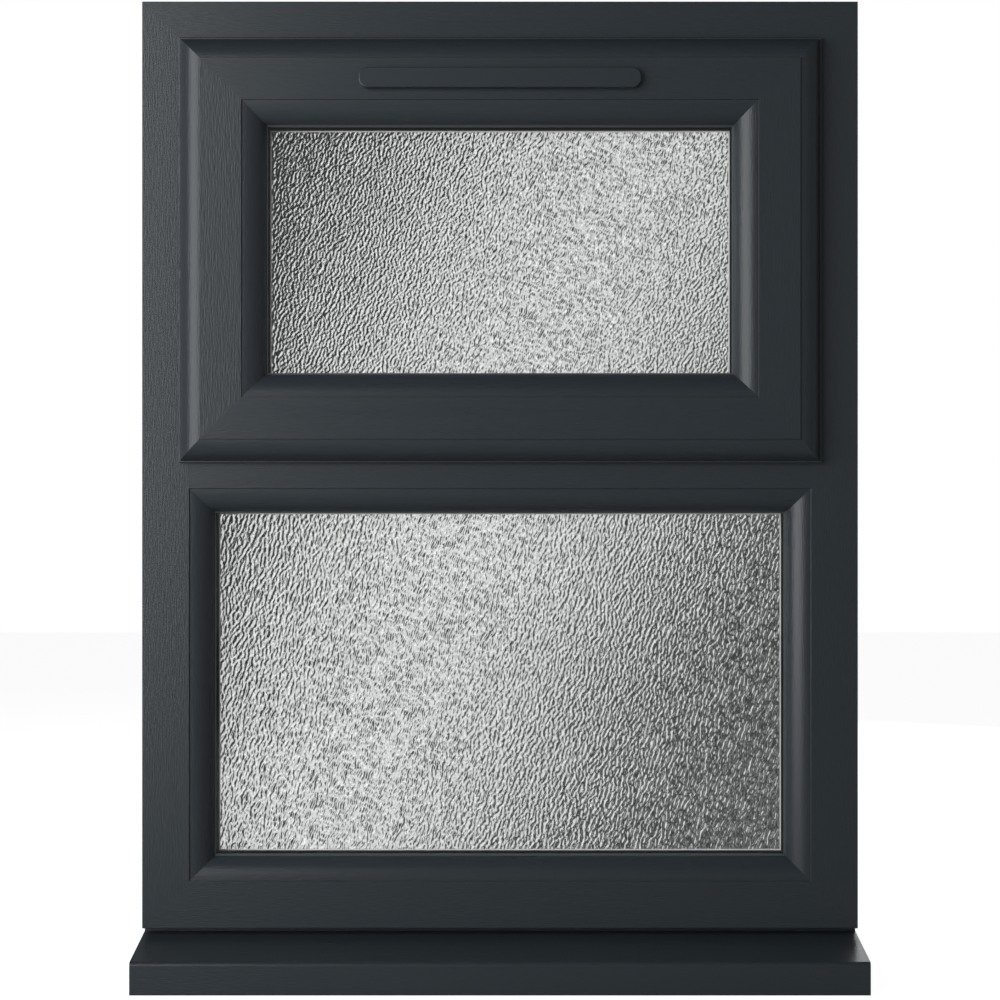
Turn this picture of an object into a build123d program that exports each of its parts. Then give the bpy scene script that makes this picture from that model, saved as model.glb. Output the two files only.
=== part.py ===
from build123d import *
import os

# A top-hung casement above a fixed light, on a projecting cill. Millimetres.
# X runs along the window, Y from the weather side into the room, Z up.
# The origin is on the cill's underside, midway along, below the frame's outside face.

# Overall sizes
frame_width = 695.0
frame_height = 900.0
opener_height = 392.0  # clear opening behind the sash, rebate to rebate

# Frame and transom
frame_face = 46.0  # flat outside face, from the outer edge to the rebate
transom_face = 35.0
upstand_height = 20.0  # room-side leg that the glass and the sash close against
upstand_thickness = 20.0
room_round = 9.0  # rounding on the room side of every leg
edge_radius = 0.8
arris_radius = 0.4  # on the crisp edges beside a moulding
groove_width = 8.0  # accessory grooves in the frame's outer sides
groove_depth = 3.0
groove_inset = 14.0

# Sash
sash_overlap = 10.0  # lap of the sash over the frame's outside face
sash_moulding_width = 22.5
sash_moulding_depth = 16.0
sash_flat = 40.5
sash_lip = 1.8  # narrow land outside the moulding
flange_edge = 3.5
hardware_cavity = 13.0  # between the frame's rebate and the sash's side
outer_seal = 2.5
inner_seal = 3.5
seal_width = 5.0
seal_inset = 2.5

# Glazing
quirk = 1.5  # step from a flat face down to the moulding beside it
bead_width = 22.2
bead_moulding_depth = 13.5
bead_nose = 2.0
gasket = 2.5
gasket_width = 9.0
outside_gasket_lip = 1.8  # how far a gasket shows past the bead or leg that holds it
inside_gasket_lip = 0.6
gasket_slant = 0.6  # of a gasket's visible edge, back to the glass
pane = 4.0
cavity = 20.0
glass_clearance = 5.0  # around the sealed unit, in its rebate
spacer_lip = 1.7  # how far the spacer shows past the bead
edge_seal_width = 1.2  # pale line of sealant where the spacer meets the inner pane
edge_seal_depth = 0.8

# Vent
vent_length = 271.0
vent_height = 19.6
vent_corner = 8.5
vent_projection = 7.5
vent_top_projection = 5.5
vent_wall = 1.6
vent_edge = 1.0
vent_body_height = 26.0
vent_body_depth = 9.0
flap_height = 13.0
flap_depth = 3.0
flap_margin = 14.0
flap_lip = 3.0

# Handle
rose_length = 66.0
rose_height = 28.0
rose_depth = 10.0
neck_diameter = 17.0
neck_length = 26.0
lever_length = 112.0
lever_height = 20.0
lever_tip_height = 15.0
lever_corner = 5.0
lever_thickness = 11.0
lever_round = 3.0

# Cill
cill_depth = 150.0
cill_nose_height = 31.0
cill_seat_height = 48.5
cill_step = 5.3  # from the frame's seat down to the start of the slope
cill_setback = 18.0  # start of the slope, behind the frame's outside face
nose_radius = 4.0
nose_lower_radius = 1.5
drip_inset = 11.0
drip_width = 7.0
drip_depth = 5.0
cap_thickness = 3.0

same_place = 1e-4  # points closer than this are one corner

# What follows from the sizes above
bead_depth = quirk + bead_moulding_depth + bead_nose
unit_depth = pane + cavity + pane
seat = bead_depth + gasket + unit_depth + gasket
frame_depth = seat + upstand_thickness
sash_proud = outer_seal + flange_edge + sash_moulding_depth + quirk
sash_back = seat - inner_seal
sash_rail = sash_moulding_width + sash_flat
sash_side = sash_overlap + hardware_cavity
sash_width = frame_width - 2 * frame_face + 2 * sash_overlap
sash_height = opener_height + 2 * sash_overlap
frame_base = cill_seat_height
frame_top = frame_base + frame_height
opener_top = frame_top - frame_face
opener_base = opener_top - opener_height
light_width = frame_width - 2 * frame_face
light_base = frame_base + frame_face
light_height = opener_base - transom_face - light_base
sash_base = opener_base - sash_overlap
sash_top = sash_base + sash_height
room_face_outer = sash_overlap + upstand_height
room_face_inner = sash_rail + upstand_height - room_round
room_face_middle = (room_face_outer + room_face_inner) / 2


def moulding(crest, foot):
    """A round that leaves its crest level with the flat face beside it and falls to the foot."""
    side = 1 if foot[1] > crest[1] else -1
    return TangentArc(crest, foot, tangent=(0, side))


def rounded(face, points, radius):
    """Rounds the corners of a flat outline that lie on the given points."""
    corners = [v for v in face.vertices() for p in points if (Vector(v) - Vector(*p)).length < same_place]
    return fillet(corners, radius)


def leg_end(seat_y, back_y, top):
    """The outline of a room-side leg, from the glass side round its top to the room."""
    arc = RadiusArc((back_y - room_round, top), (back_y, top - room_round), room_round)
    return Polyline((seat_y, top), (back_y - room_round, top)) + arc


def frame_section():
    """The frame's outline: Y across, and the distance in from its outer edge up."""
    top = frame_face + upstand_height
    first = groove_inset
    second = frame_depth - groove_inset - groove_width
    grooves = []
    for start in (second, first):
        end = start + groove_width
        grooves += [(end, 0), (end, groove_depth), (start, groove_depth), (start, 0)]
    line = Polyline((0, 0), (0, frame_face), (seat, frame_face), (seat, top))
    line += leg_end(seat, frame_depth, top)
    line += Polyline((frame_depth, top - room_round), (frame_depth, 0), *grooves, (0, 0))
    return rounded(make_face(line), [(0, 0), (0, frame_face), (frame_depth, 0)], edge_radius)


def transom_section():
    half = transom_face / 2
    top = half + upstand_height
    upper = Polyline((0, 0), (0, half), (seat, half), (seat, top))
    upper += leg_end(seat, frame_depth, top)
    upper += Polyline((frame_depth, top - room_round), (frame_depth, 0), (0, 0))
    face = make_face(upper)
    face += mirror(face, Plane.XZ)
    return rounded(face, [(0, half), (0, -half)], edge_radius)


def sash_section():
    """The sash's outline: Y across, and the distance in from its outer edge up."""
    front = -sash_proud
    lip = -outer_seal - flange_edge
    crest = (front + quirk, sash_moulding_width)
    top = sash_rail + upstand_height
    leg = seat - sash_proud
    line = Polyline((-outer_seal, 0), (lip, 0), (lip, sash_lip))
    line += moulding(crest, (lip, sash_lip))
    line += Polyline(crest, (front, sash_moulding_width), (front, sash_rail), (leg, sash_rail), (leg, top))
    line += leg_end(leg, sash_back, top)
    line += Polyline(
        (sash_back, top - room_round),
        (sash_back, sash_side),
        (-outer_seal, sash_side),
        (-outer_seal, 0),
    )
    face = rounded(make_face(line), [(lip, 0)], edge_radius)
    return rounded(face, [(front, sash_moulding_width), (front, sash_rail)], arris_radius)


def bead_section():
    """The glazing bead's outline, from the rebate out to its nose at the glass."""
    crest = (quirk, 0)
    foot = (quirk + bead_moulding_depth, bead_width)
    line = moulding(crest, foot)
    line += Polyline(foot, (bead_depth, bead_width), (bead_depth, 0), crest)
    return make_face(line)


def strip_section(near, far, outer, inner, slant):
    """A strip between two depths; its inner edge slants back by the given amount."""
    return make_face(Polyline((near, outer), (near, inner - slant), (far, inner), (far, outer), close=True))


def mitred(section, length):
    """A bar of the given section along X, with both ends cut at 45 degrees."""
    box = section.bounding_box()
    bar = extrude(Plane.YZ * section, length / 2, both=True)
    reach = box.max.Y
    half = length / 2
    plan = Polyline((-half, 0), (half, 0), (half - reach, reach), (reach - half, reach), close=True)
    cut = extrude(Plane.XZ * make_face(plan), 2 * frame_depth + cill_depth, both=True)
    return bar & cut


def ring(section, width, height, base, depth=0.0):
    """Four mitred bars of one section around a rectangle, set back by depth."""
    long_bar = mitred(section, width)
    tall_bar = mitred(section, height)
    middle = base + height / 2
    return {
        "top": Pos(0, depth, base + height) * Rot(0, 180, 0) * long_bar,
        "bottom": Pos(0, depth, base) * long_bar,
        "left": Pos(-width / 2, depth, middle) * Rot(0, 90, 0) * tall_bar,
        "right": Pos(width / 2, depth, middle) * Rot(0, -90, 0) * tall_bar,
    }


def joined(bars):
    """The four bars of a ring as one endless strip."""
    sides = list(bars.values())
    return sides[0].fuse(*sides[1:])


def glazing(prefix, width, height, base, face_y):
    """Beads, gaskets and sealed unit for one rebate, behind the face at face_y."""
    pieces = {}
    for side, bead in ring(bead_section(), width, height, base, face_y).items():
        pieces[f"{prefix}_bead_{side}"] = bead
    outside_inner = bead_width + outside_gasket_lip
    outside = strip_section(
        bead_depth, bead_depth + gasket, outside_inner - gasket_width, outside_inner, gasket_slant
    )
    inside_inner = upstand_height + inside_gasket_lip
    inside = strip_section(seat, seat - gasket, inside_inner - gasket_width, inside_inner, gasket_slant)
    first = bead_depth + gasket
    second = first + pane
    third = second + cavity
    sightline = bead_width + spacer_lip
    spacer = strip_section(second, third, glass_clearance, sightline, 0)
    seal = strip_section(third - edge_seal_depth, third, sightline, sightline + edge_seal_width, 0)
    pieces[f"{prefix}_outside_gasket"] = joined(ring(outside, width, height, base, face_y))
    pieces[f"{prefix}_inside_gasket"] = joined(ring(inside, width, height, base, face_y))
    pieces[f"{prefix}_spacer"] = joined(ring(spacer, width, height, base, face_y))
    pieces[f"{prefix}_edge_seal"] = joined(ring(seal, width, height, base, face_y))
    middle = base + height / 2
    for name, start in (("outer", first), ("inner", third)):
        sheet = Box(width - 2 * glass_clearance, pane, height - 2 * glass_clearance)
        pieces[f"{prefix}_{name}_pane"] = Pos(0, face_y + start + pane / 2, middle) * sheet
    return pieces


def outer_frame():
    """The four mitred bars, and a transom let into the jambs as deep as their rounded edge."""
    bars = ring(frame_section(), frame_width, frame_height, frame_base)
    height = Pos(0, 0, opener_base - transom_face / 2)
    length = light_width + 2 * edge_radius
    notch = height * Box(length, seat, transom_face, align=(Align.CENTER, Align.MIN, Align.CENTER))
    left = bars["left"] - notch
    right = bars["right"] - notch
    bar = height * extrude(Plane.YZ * transom_section(), length / 2, both=True)
    return {
        "frame_head": bars["top"],
        "frame_bottom_rail": bars["bottom"],
        "frame_left_jamb": left,
        "frame_right_jamb": right,
        "transom": bar - left - right,
    }


def sash():
    bars = ring(sash_section(), sash_width, sash_height, sash_base)
    pieces = {
        "sash_top_rail": bars["top"],
        "sash_bottom_rail": bars["bottom"],
        "sash_left_stile": bars["left"],
        "sash_right_stile": bars["right"],
    }
    outer = strip_section(-outer_seal, 0, seal_inset, seal_inset + seal_width, 0)
    pieces["sash_outer_seal"] = joined(ring(outer, sash_width, sash_height, sash_base))
    inner = strip_section(sash_back, seat, sash_side, sash_overlap + upstand_height, 0)
    pieces["sash_inner_seal"] = joined(ring(inner, sash_width, sash_height, sash_base))
    return pieces


def hood(length, height, low, high, corner):
    """A block with rounded ends that leans out from its top edge to its bottom edge."""
    front = Polyline((0, height / 2), (-high, height / 2), (-low, -height / 2), (0, -height / 2), close=True)
    block = extrude(Plane.YZ * make_face(front), length / 2, both=True)
    return block & extrude(Plane.XZ * RectangleRounded(length, height, corner), 2 * low, both=True)


def vent():
    """The hood outside, open along its bottom edge, and the cover and flap inside."""
    shell = hood(vent_length, vent_height, vent_projection, vent_top_projection, vent_corner)
    outline = shell.faces().sort_by(Axis.Y)[0].edges()
    shell = fillet(outline, vent_edge)
    hollow = hood(
        vent_length - 2 * vent_wall,
        vent_height - 2 * vent_wall,
        vent_projection - vent_wall,
        vent_top_projection - vent_wall,
        vent_corner - vent_wall,
    )
    slot_length = vent_length - 2 * vent_corner
    slot_depth = vent_top_projection - vent_wall
    below = (Align.CENTER, Align.MAX, Align.MAX)
    slot = Box(slot_length, slot_depth, vent_height / 2, align=below)
    shell = shell - hollow - slot
    outside = sash_top - sash_moulding_width - sash_flat / 2
    inside = sash_top - room_face_middle
    cover = extrude(Plane.XZ * RectangleRounded(vent_length, vent_body_height, vent_corner), -vent_body_depth)
    cover = fillet(cover.faces().sort_by(Axis.Y)[-1].edges(), vent_edge)
    flap_length = vent_length - 2 * flap_margin
    leaf = Box(flap_length, flap_depth, flap_height, align=(Align.CENTER, Align.MIN, Align.CENTER))
    pull = Box(flap_length, flap_lip, flap_depth, align=(Align.CENTER, Align.MIN, Align.MAX))
    leaf += Pos(0, flap_depth, flap_height / 2) * pull
    return {
        "vent_canopy": Pos(0, -sash_proud, outside) * shell,
        "vent_inside_cover": Pos(0, sash_back, inside) * cover,
        "vent_flap": Pos(0, sash_back + vent_body_depth, inside) * leaf,
    }


def handle():
    """The closed handle on the room side of the sash's bottom rail."""
    height = sash_base + room_face_middle
    rose = extrude(Plane.XZ * SlotOverall(rose_length, rose_height), -rose_depth)
    rose = fillet(rose.faces().sort_by(Axis.Y)[-1].edges(), lever_round)
    neck = extrude(Plane.XZ * Circle(neck_diameter / 2), -neck_length)
    start = -lever_height / 2
    reach = lever_length + start
    grip = make_face(
        Polyline(
            (start, -lever_height / 2),
            (reach, -lever_tip_height / 2),
            (reach, lever_tip_height / 2),
            (start, lever_height / 2),
            close=True,
        )
    )
    grip = fillet(grip.vertices(), lever_corner)
    lever = Pos(0, neck_length - lever_thickness, 0) * extrude(Plane.XZ * grip, -lever_thickness)
    lever = fillet(lever.faces().sort_by(Axis.Y)[-1].edges(), lever_round)
    return {
        "handle_rose": Pos(0, sash_back, height) * rose,
        "handle_lever": Pos(0, sash_back + rose_depth, height) * (neck + lever),
    }


def cill():
    nose = frame_depth - cill_depth
    slope_top = cill_seat_height - cill_step
    drip = nose + drip_inset
    outline = Polyline(
        (nose, 0),
        (nose, cill_nose_height),
        (cill_setback, slope_top),
        (cill_setback, cill_seat_height),
        (frame_depth, cill_seat_height),
        (frame_depth, 0),
        (drip + drip_width, 0),
        (drip + drip_width, drip_depth),
        (drip, drip_depth),
        (drip, 0),
        close=True,
    )
    section = rounded(make_face(outline), [(nose, cill_nose_height)], nose_radius)
    section = rounded(section, [(nose, 0)], nose_lower_radius)
    board = frame_width - 2 * cap_thickness
    cap = extrude(Plane.YZ * section, cap_thickness)
    return {
        "cill": extrude(Plane.YZ * section, board / 2, both=True),
        "cill_right_end_cap": Pos(board / 2, 0, 0) * cap,
        "cill_left_end_cap": Pos(-frame_width / 2, 0, 0) * cap,
    }


pieces = outer_frame()
pieces |= glazing("lower", light_width, light_height, light_base, 0)
pieces |= sash()
pieces |= glazing(
    "upper",
    sash_width - 2 * sash_rail,
    sash_height - 2 * sash_rail,
    sash_base + sash_rail,
    -sash_proud,
)
pieces |= vent()
pieces |= handle()
pieces |= cill()

os.makedirs("parts", exist_ok=True)
for name, piece in pieces.items():
    export_step(piece, f"parts/{name}.step")
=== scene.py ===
"""Looks of the top-hung window: grained foil, stippled glass, rubber, studio light and camera."""

import math

import bpy
import numpy as np
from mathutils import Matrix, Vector


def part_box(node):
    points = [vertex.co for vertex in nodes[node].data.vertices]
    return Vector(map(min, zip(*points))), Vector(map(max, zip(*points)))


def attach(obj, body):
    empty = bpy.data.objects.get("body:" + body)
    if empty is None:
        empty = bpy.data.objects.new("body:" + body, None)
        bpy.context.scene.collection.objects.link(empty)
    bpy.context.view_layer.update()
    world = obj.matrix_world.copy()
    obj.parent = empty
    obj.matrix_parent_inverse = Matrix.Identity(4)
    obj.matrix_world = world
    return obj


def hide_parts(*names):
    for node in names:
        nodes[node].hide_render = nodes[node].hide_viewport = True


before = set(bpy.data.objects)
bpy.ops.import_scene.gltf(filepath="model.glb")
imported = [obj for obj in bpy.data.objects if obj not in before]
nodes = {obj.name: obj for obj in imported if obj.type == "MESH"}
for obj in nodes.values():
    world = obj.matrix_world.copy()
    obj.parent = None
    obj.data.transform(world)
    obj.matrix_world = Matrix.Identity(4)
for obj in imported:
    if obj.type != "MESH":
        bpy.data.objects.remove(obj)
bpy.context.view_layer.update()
scene = bpy.context.scene

# Lengths are in metres, and the scales of a noise in cells per metre.

# Foil: fine grain lines pressed in along each bar, and broad streaks that vary its sheen.
FOIL_DARK = (0.0335, 0.0440, 0.0525)
FOIL_LIGHT = (0.0385, 0.0500, 0.0590)
GRAIN_ACROSS = 800.0
GRAIN_ALONG = 85.0
GRAIN_DEPTH = 0.00021
SHEEN_ACROSS = 90.0
SHEEN_ALONG = 5.0
SHEEN_ROUGHNESS = (0.27, 0.31)

# Glass: the modelled relief of the patterned panes. WAVE is a wave's length across its lean, and
# WAVE_RUN its reach along it. Over EVENING, all waves are brought to the same strength.
# PLAIN_RIM is left flat round the pane, and SUNK is the depth of the relief's middle.
WAVE = 0.0036
WAVE_SPREAD = 0.4
WAVE_RUN = 0.0003
WAVE_LEAN = math.radians(26)
EVENING = 0.0025
PLAIN_RIM = 0.0165
SUNK = 0.0012

# A finer stipple that the shader adds to the relief. It doesn't vary with depth.
FINE_LEAN = math.radians(-22)
FINE_CELLS = (300.0, 0.0, 190.0)
FINE_DEPTH = 0.0021

# Stage: the camera and a pale floor.
CAMERA = Vector((0.0, -2.292, 0.4645))
LENS_MM = 85.0
SENSOR_MM = 36.0
STAGE_REACH = 6.0
FLOOR_GREY = 0.50
FLOOR_GLOW = 0.92

# A wall behind the glass, with a bright band that goes BAND_LEAN to the right for each metre it rises.
# Each stop has a place, from 0 to 1 over BAND_RANGE along x, and a brightness.
WALL_Y = 6.0
WALL_STRENGTH = 1.04
BAND_LEAN = 0.425
BAND_RANGE = (-2.90, 2.75)
BAND_STOPS = ((0.29, 0.010), (0.487, 0.86), (0.506, 0.86), (0.700, 0.02), (0.875, 0.14))

# The dome's light falls off from the horizon up to directions whose Z is DOME_TOP.
DOME_TOP = 0.8
DOME_LOW_LIGHT = 0.24
DOME_HIGH_LIGHT = 0.03

# Blender's noise lies mostly in this range.
NOISE_RANGE = (0.3, 0.7)
# The Mix node has a pair of inputs for each kind of data. These numbers are those of its colours.
MIX_FACTOR, MIX_FIRST, MIX_SECOND, MIX_COLOUR = 0, 6, 7, 2


def material(name):
    """A new node material, with its tree and its Principled shader."""
    made = bpy.data.materials.new(name)
    made.use_nodes = True
    tree = made.node_tree
    return made, tree, tree.nodes["Principled BSDF"]


def add(tree, kind, inputs=None, **settings):
    """A node with its settings and socket values."""
    node = tree.nodes.new(kind)
    for key, value in settings.items():
        setattr(node, key, value)
    for key, value in (inputs or {}).items():
        node.inputs[key].default_value = value
    return node


def noise(tree, scale, detail=2.0, roughness=0.5, lean=0.0):
    """Noise in the object's own coordinates, turned about Y, then stretched by a scale for each axis."""
    place = add(tree, "ShaderNodeTexCoord")
    turn = add(tree, "ShaderNodeMapping", {"Rotation": (0.0, lean, 0.0)})
    stretch = add(tree, "ShaderNodeMapping", {"Scale": scale})
    made = add(tree, "ShaderNodeTexNoise", {"Scale": 1.0, "Detail": detail, "Roughness": roughness})
    tree.links.new(place.outputs["Object"], turn.inputs["Vector"])
    tree.links.new(turn.outputs["Vector"], stretch.inputs["Vector"])
    tree.links.new(stretch.outputs["Vector"], made.inputs["Vector"])
    return made.outputs["Fac"]


def spread(tree, value, low, high):
    """A noise carried from its usual range into another range."""
    least, most = NOISE_RANGE
    limits = {"From Min": least, "From Max": most, "To Min": low, "To Max": high}
    made = add(tree, "ShaderNodeMapRange", limits)
    tree.links.new(value, made.inputs["Value"])
    return made.outputs["Result"]


def bump(tree, height, depth):
    """A normal that follows a 0 to 1 height over a given depth."""
    made = add(tree, "ShaderNodeBump", {"Strength": 1.0, "Distance": depth})
    tree.links.new(height, made.inputs["Height"])
    return made.outputs["Normal"]


def tint(tree, pattern, dark, light):
    """A colour that varies with a noise between two limits."""
    made = add(tree, "ShaderNodeMix", data_type="RGBA")
    made.inputs[MIX_FIRST].default_value = (*dark, 1)
    made.inputs[MIX_SECOND].default_value = (*light, 1)
    tree.links.new(spread(tree, pattern, 0.0, 1.0), made.inputs[MIX_FACTOR])
    return made.outputs[MIX_COLOUR]


def stretched(across, along, axis):
    """Scales of a noise that runs along one axis."""
    scale = [across] * 3
    scale["xyz".index(axis)] = along
    return scale


def foil(name, axis):
    """Anthracite foil, embossed with fine grain lines along one axis."""
    made, tree, shader = material(name)
    lines = noise(tree, stretched(GRAIN_ACROSS, GRAIN_ALONG, axis), detail=2.0, roughness=0.55)
    streaks = noise(tree, stretched(SHEEN_ACROSS, SHEEN_ALONG, axis), detail=3.0, roughness=0.55)
    tree.links.new(tint(tree, lines, FOIL_DARK, FOIL_LIGHT), shader.inputs["Base Color"])
    tree.links.new(spread(tree, streaks, *SHEEN_ROUGHNESS), shader.inputs["Roughness"])
    tree.links.new(bump(tree, lines, GRAIN_DEPTH), shader.inputs["Normal"])
    return made


def moulded(name, dark, light, rough, depth, scale, shine=0.5):
    """Plain plastic or rubber with a fine matt surface."""
    made, tree, shader = material(name)
    shader.inputs["Specular IOR Level"].default_value = shine
    grain = noise(tree, [scale] * 3, detail=3.0, roughness=0.6)
    unevenness = 0.04
    tree.links.new(tint(tree, grain, dark, light), shader.inputs["Base Color"])
    tree.links.new(spread(tree, grain, rough - unevenness, rough + unevenness), shader.inputs["Roughness"])
    tree.links.new(bump(tree, grain, depth), shader.inputs["Normal"])
    return made


def glass(name, colour, stipple_depth=0.0):
    """Glass with a faint unevenness of colour, and where asked a fine leaning stipple."""
    made, tree, shader = material(name)
    shader.inputs["Transmission Weight"].default_value = 1.0
    shader.inputs["IOR"].default_value = 1.5
    shader.inputs["Roughness"].default_value = 0.0
    haze = noise(tree, [40.0] * 3, detail=3.0)
    deep = tuple(0.97 * part for part in colour)
    tree.links.new(tint(tree, haze, deep, colour), shader.inputs["Base Color"])
    if stipple_depth:
        cells = noise(tree, FINE_CELLS, detail=0.0, lean=FINE_LEAN)
        tree.links.new(bump(tree, cells, stipple_depth), shader.inputs["Normal"])
    return made


def satin_metal(name):
    """Metal with a fine brushed surface, for the handle."""
    made, tree, shader = material(name)
    shader.inputs["Metallic"].default_value = 1.0
    brush = noise(tree, [30.0, 900.0, 900.0], detail=3.0, roughness=0.6)
    tree.links.new(tint(tree, brush, (0.38, 0.39, 0.40), (0.46, 0.47, 0.48)), shader.inputs["Base Color"])
    tree.links.new(spread(tree, brush, 0.28, 0.40), shader.inputs["Roughness"])
    tree.links.new(bump(tree, brush, 0.00001), shader.inputs["Normal"])
    return made


foil_x = foil("anthracite_foil_x", "x")
foil_z = foil("anthracite_foil_z", "z")
plastic = moulded("anthracite_plastic", (0.034, 0.045, 0.053), (0.038, 0.049, 0.058),
                  rough=0.32, depth=0.00003, scale=1400.0)
rubber = moulded("black_rubber", (0.007, 0.007, 0.008), (0.011, 0.011, 0.012),
                 rough=0.8, depth=0.00003, scale=1200.0, shine=0.1)
# Grey rubber of the outside gasket. Its light grey is partly its own colour and partly a painted
# highlight, the bright line along each bead's lip.
lip_with_painted_highlight = moulded("grey_rubber", (0.075, 0.093, 0.098), (0.095, 0.113, 0.118),
                     rough=0.5, depth=0.00002, scale=1200.0, shine=0.4)
# Sealant of the panes' edge seals. Its near-white is partly its own colour and partly a painted highlight,
# the glint along the pane's edge, kept bright where the bead shades it.
pale_seal_painted_highlight = moulded("pale_sealant", (0.76, 0.76, 0.755), (0.82, 0.82, 0.815),
                  rough=0.6, depth=0.00002, scale=900.0, shine=0.3)
spacer = moulded("black_spacer", (0.006, 0.006, 0.007), (0.010, 0.010, 0.011),
                 rough=0.9, depth=0.00002, scale=900.0, shine=0.0)
clear = glass("clear_glass", (0.97, 0.985, 0.98))
stippled = glass("patterned_glass", (0.95, 0.96, 0.955), FINE_DEPTH)
metal = satin_metal("satin_metal")

# Words in a node's name, and its finish. The first match counts.
FINISHES = (
    (("outer_pane",), clear),
    (("inner_pane",), stippled),
    (("outside_gasket",), lip_with_painted_highlight),
    (("edge_seal",), pale_seal_painted_highlight),
    (("gasket", "seal"), rubber),
    (("spacer",), spacer),
    (("handle",), metal),
    (("vent", "end_cap"), plastic),
    (("jamb", "stile", "bead_left", "bead_right"), foil_z),
)


def finish_of(name):
    """The finish of a node. The bars that lie flat have foil with its grain along x."""
    for words, finish in FINISHES:
        if any(word in name for word in words):
            return finish
    return foil_x


for name, node in nodes.items():
    for place in node.material_slots:
        place.material = finish_of(name)
    if "pane" in name:
        node.visible_shadow = False


def relief(columns, rows, pitch_x, pitch_z, tilt, rng):
    """Heights of a rolled stipple: short waves of even strength that lean to the right as they rise."""
    kx = np.fft.fftfreq(columns, pitch_x)[None, :]
    kz = np.fft.fftfreq(rows, pitch_z)[:, None]
    across = (kx * math.cos(WAVE_LEAN) - kz * math.sin(WAVE_LEAN)) * WAVE
    along = (kx * math.sin(WAVE_LEAN) + kz * math.cos(WAVE_LEAN)) * WAVE_RUN
    off_wave = (np.abs(across) - 1.0) / WAVE_SPREAD
    weight = np.exp(-0.5 * off_wave ** 2 - 0.5 * (along * 2 * math.pi) ** 2)
    height = np.fft.ifft2(np.fft.fft2(rng.normal(size=(rows, columns))) * weight).real
    blur = np.exp(-2 * (math.pi * EVENING) ** 2 * (kx ** 2 + kz ** 2))
    height /= np.sqrt(np.fft.ifft2(np.fft.fft2(height ** 2) * blur).real)
    return height * tilt / np.gradient(height, pitch_x, axis=1).std()


def stippled_face(low, high, seed, pitch_x, pitch_z, tilt):
    """Points of a pane's face to the cavity, row by row, with a plain rim that the spacer hides."""
    x0, x1 = low.x + PLAIN_RIM, high.x - PLAIN_RIM
    z0, z1 = low.z + PLAIN_RIM, high.z - PLAIN_RIM
    xs = np.linspace(x0, x1, int((x1 - x0) / pitch_x) + 1)
    zs = np.linspace(z0, z1, int((z1 - z0) / pitch_z) + 1)
    height = relief(len(xs), len(zs), pitch_x, pitch_z, tilt, np.random.default_rng(seed))
    depth = np.clip(SUNK + height, 0, 2 * SUNK)
    xs = np.concatenate(([low.x], xs, [high.x]))
    zs = np.concatenate(([low.z], zs, [high.z]))
    face = np.empty((len(zs), len(xs), 3))
    face[..., 0] = xs[None, :]
    face[..., 1] = low.y + np.pad(depth, 1, constant_values=SUNK)
    face[..., 2] = zs[:, None]
    return face


def closed_pane(face, back_y):
    """Points and faces of a pane: the given face first, then four sides and a flat back."""
    rows, columns = face.shape[:2]
    index = np.arange(rows * columns).reshape(rows, columns)
    corners = (index[:-1, :-1], index[:-1, 1:], index[1:, 1:], index[1:, :-1])
    quads = np.stack(corners, -1).reshape(-1, 4)
    rim = np.concatenate((index[0, :-1], index[:-1, -1], index[-1, :0:-1], index[:0:-1, 0]))
    front = face.reshape(-1, 3)
    back = front[rim].copy()
    back[:, 1] = back_y
    behind = np.arange(len(front), len(front) + len(rim))
    sides = np.stack((np.roll(rim, -1), rim, behind, np.roll(behind, -1)), -1)
    faces = quads.tolist() + sides.tolist() + [behind[::-1].tolist()]
    return np.concatenate((front, back)).tolist(), faces, len(quads)


def patterned_pane(light, seed, pitch_x, pitch_z, tilt):
    """A pane whose face to the cavity has a stippled relief, inside the CAD pane's box."""
    low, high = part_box(f"{light}_inner_pane")
    face = stippled_face(low, high, seed, pitch_x, pitch_z, tilt)
    points, faces, smooth_count = closed_pane(face, high.y)
    mesh = bpy.data.meshes.new(f"{light}_stippled_pane")
    mesh.from_pydata(points, [], faces)
    smooth = np.zeros(len(faces), bool)
    smooth[:smooth_count] = True
    mesh.polygons.foreach_set("use_smooth", smooth)
    mesh.materials.append(stippled)
    pane = bpy.data.objects.new(f"{light}_stippled_pane", mesh)
    scene.collection.objects.link(pane)
    pane.visible_shadow = False
    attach(pane, "root")
    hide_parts(f"{light}_inner_pane")


# The pitches keep each pane under 200,000 triangles. The coarser net needs the steeper waves.
patterned_pane("lower", seed=11, pitch_x=0.00120, pitch_z=0.00168, tilt=0.37)
patterned_pane("upper", seed=12, pitch_x=0.00102, pitch_z=0.00116, tilt=0.30)


def card(name, corners, shade):
    """A flat piece of the stage."""
    mesh = bpy.data.meshes.new(name)
    mesh.from_pydata(corners, [], [list(range(len(corners)))])
    mesh.materials.append(shade)
    made = bpy.data.objects.new(name, mesh)
    scene.collection.objects.link(made)
    return made


def bare_material(name):
    """A new node material with nothing in it but its output."""
    made, tree, shader = material(name)
    tree.nodes.remove(shader)
    return made, tree, tree.nodes["Material Output"]


def floor_shade():
    """Grey to the light, so that it keeps the shadow, and lifted almost to white for the camera."""
    made, tree, out = bare_material("pale_floor")
    body = add(tree, "ShaderNodeBsdfDiffuse", {"Color": (FLOOR_GREY, FLOOR_GREY, FLOOR_GREY, 1)})
    glow = add(tree, "ShaderNodeEmission", {"Color": (1, 1, 1, 1)})
    path = add(tree, "ShaderNodeLightPath")
    level = add(tree, "ShaderNodeMath", {1: FLOOR_GLOW}, operation="MULTIPLY")
    both = add(tree, "ShaderNodeAddShader")
    tree.links.new(path.outputs["Is Camera Ray"], level.inputs[0])
    tree.links.new(level.outputs[0], glow.inputs["Strength"])
    tree.links.new(body.outputs[0], both.inputs[0])
    tree.links.new(glow.outputs[0], both.inputs[1])
    tree.links.new(both.outputs[0], out.inputs["Surface"])
    return made


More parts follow.
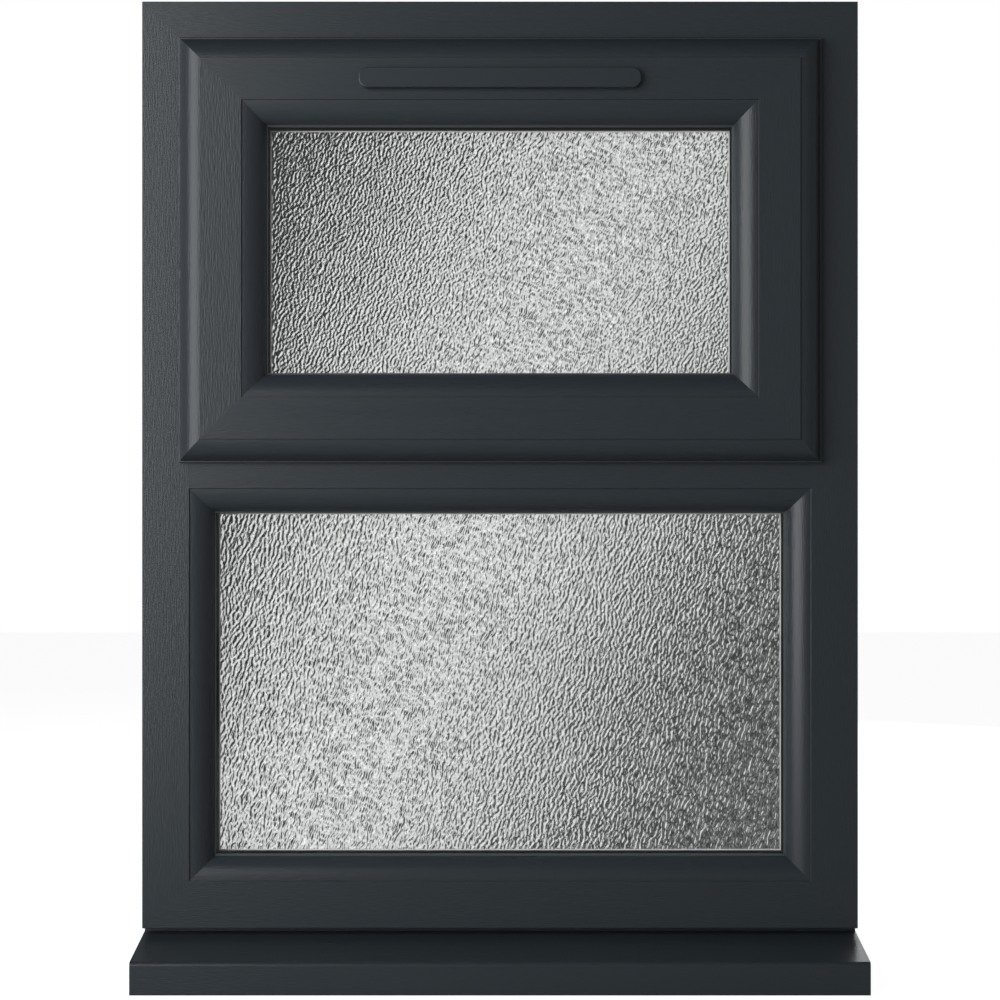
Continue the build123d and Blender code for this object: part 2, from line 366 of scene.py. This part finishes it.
def backlight_shade():
    """A lit wall behind the window: a soft bright band, leaning to the right as it rises."""
    made, tree, out = bare_material("backlight")
    place = add(tree, "ShaderNodeTexCoord")
    axes = add(tree, "ShaderNodeSeparateXYZ")
    lean = add(tree, "ShaderNodeMath", {1: -BAND_LEAN}, operation="MULTIPLY")
    off = add(tree, "ShaderNodeMath", operation="ADD")
    ramp = add(tree, "ShaderNodeMapRange", {"From Min": BAND_RANGE[0], "From Max": BAND_RANGE[1]})
    fade = add(tree, "ShaderNodeValToRGB")
    stops = fade.color_ramp.elements
    fade.color_ramp.interpolation = "EASE"
    while len(stops) < len(BAND_STOPS):
        stops.new(0.5)
    for stop, (at, level) in zip(stops, BAND_STOPS):
        stop.position = at
        stop.color = (level, level, level, 1)
    glow = add(tree, "ShaderNodeEmission", {"Strength": WALL_STRENGTH})
    tree.links.new(place.outputs["Object"], axes.inputs[0])
    tree.links.new(axes.outputs["Z"], lean.inputs[0])
    tree.links.new(axes.outputs["X"], off.inputs[0])
    tree.links.new(lean.outputs[0], off.inputs[1])
    tree.links.new(off.outputs[0], ramp.inputs["Value"])
    tree.links.new(ramp.outputs["Result"], fade.inputs["Fac"])
    tree.links.new(fade.outputs["Color"], glow.inputs["Color"])
    tree.links.new(glow.outputs[0], out.inputs["Surface"])
    return made


square = ((-STAGE_REACH, -STAGE_REACH), (STAGE_REACH, -STAGE_REACH),
          (STAGE_REACH, STAGE_REACH), (-STAGE_REACH, STAGE_REACH))
floor = card("floor", [(x, y, 0) for x, y in square], floor_shade())
floor.visible_transmission = False
# Only rays that come through the glass see the wall.
wall = card("backlight", [(x, 0, z) for x, z in square], backlight_shade())
wall.location = (0.0, WALL_Y, CAMERA.z)
for flag in ("camera", "diffuse", "glossy", "shadow", "volume_scatter"):
    setattr(wall, "visible_" + flag, False)


def softbox(name, centre, target, width, height, radiance):
    """A rectangular lamp that faces a target and that the camera doesn't see."""
    lamp = bpy.data.lights.new(name, "AREA")
    lamp.shape = "RECTANGLE"
    lamp.size = width
    lamp.size_y = height
    lamp.energy = radiance * math.pi * width * height
    made = bpy.data.objects.new(name, lamp)
    made.location = centre
    made.rotation_euler = (Vector(target) - Vector(centre)).to_track_quat("-Z", "Y").to_euler()
    made.visible_camera = False
    scene.collection.objects.link(made)
    return made


# The key stands outside on the left. The fill lights the room side, and the glass doesn't show it.
softbox("key", centre=(-1.25, -1.445, 0.90), target=(-0.4225, -0.881, 0.76),
        width=1.83, height=1.75, radiance=2.95)
fill = softbox("fill", centre=(1.2, 2.1, 1.1), target=(0.0, 0.07, 0.45),
               width=1.8, height=1.8, radiance=1.5)
fill.visible_transmission = False


def studio_world():
    """White to the camera, and otherwise a dim dome that darkens upwards."""
    made = bpy.data.worlds.new("studio")
    made.use_nodes = True
    tree = made.node_tree
    sky = tree.nodes["Background"]
    sky.inputs["Color"].default_value = (1, 1, 1, 1)
    way = add(tree, "ShaderNodeTexCoord")
    axes = add(tree, "ShaderNodeSeparateXYZ")
    limits = {"From Min": 0.0, "From Max": DOME_TOP, "To Min": DOME_LOW_LIGHT, "To Max": DOME_HIGH_LIGHT}
    dome = add(tree, "ShaderNodeMapRange", limits)
    path = add(tree, "ShaderNodeLightPath")
    level = add(tree, "ShaderNodeMapRange", {"To Max": 1.0})
    tree.links.new(way.outputs["Generated"], axes.inputs[0])
    tree.links.new(axes.outputs["Z"], dome.inputs["Value"])
    tree.links.new(dome.outputs["Result"], level.inputs["To Min"])
    tree.links.new(path.outputs["Is Camera Ray"], level.inputs["Value"])
    tree.links.new(level.outputs["Result"], sky.inputs["Strength"])
    return made


scene.world = studio_world()

lens = bpy.data.cameras.new("camera")
lens.lens = LENS_MM
lens.sensor_width = SENSOR_MM
camera = bpy.data.objects.new("camera", lens)
camera.location = CAMERA
camera.rotation_euler = (math.pi / 2, 0, 0)
scene.collection.objects.link(camera)
scene.camera = camera
scene.view_settings.view_transform = "Standard"
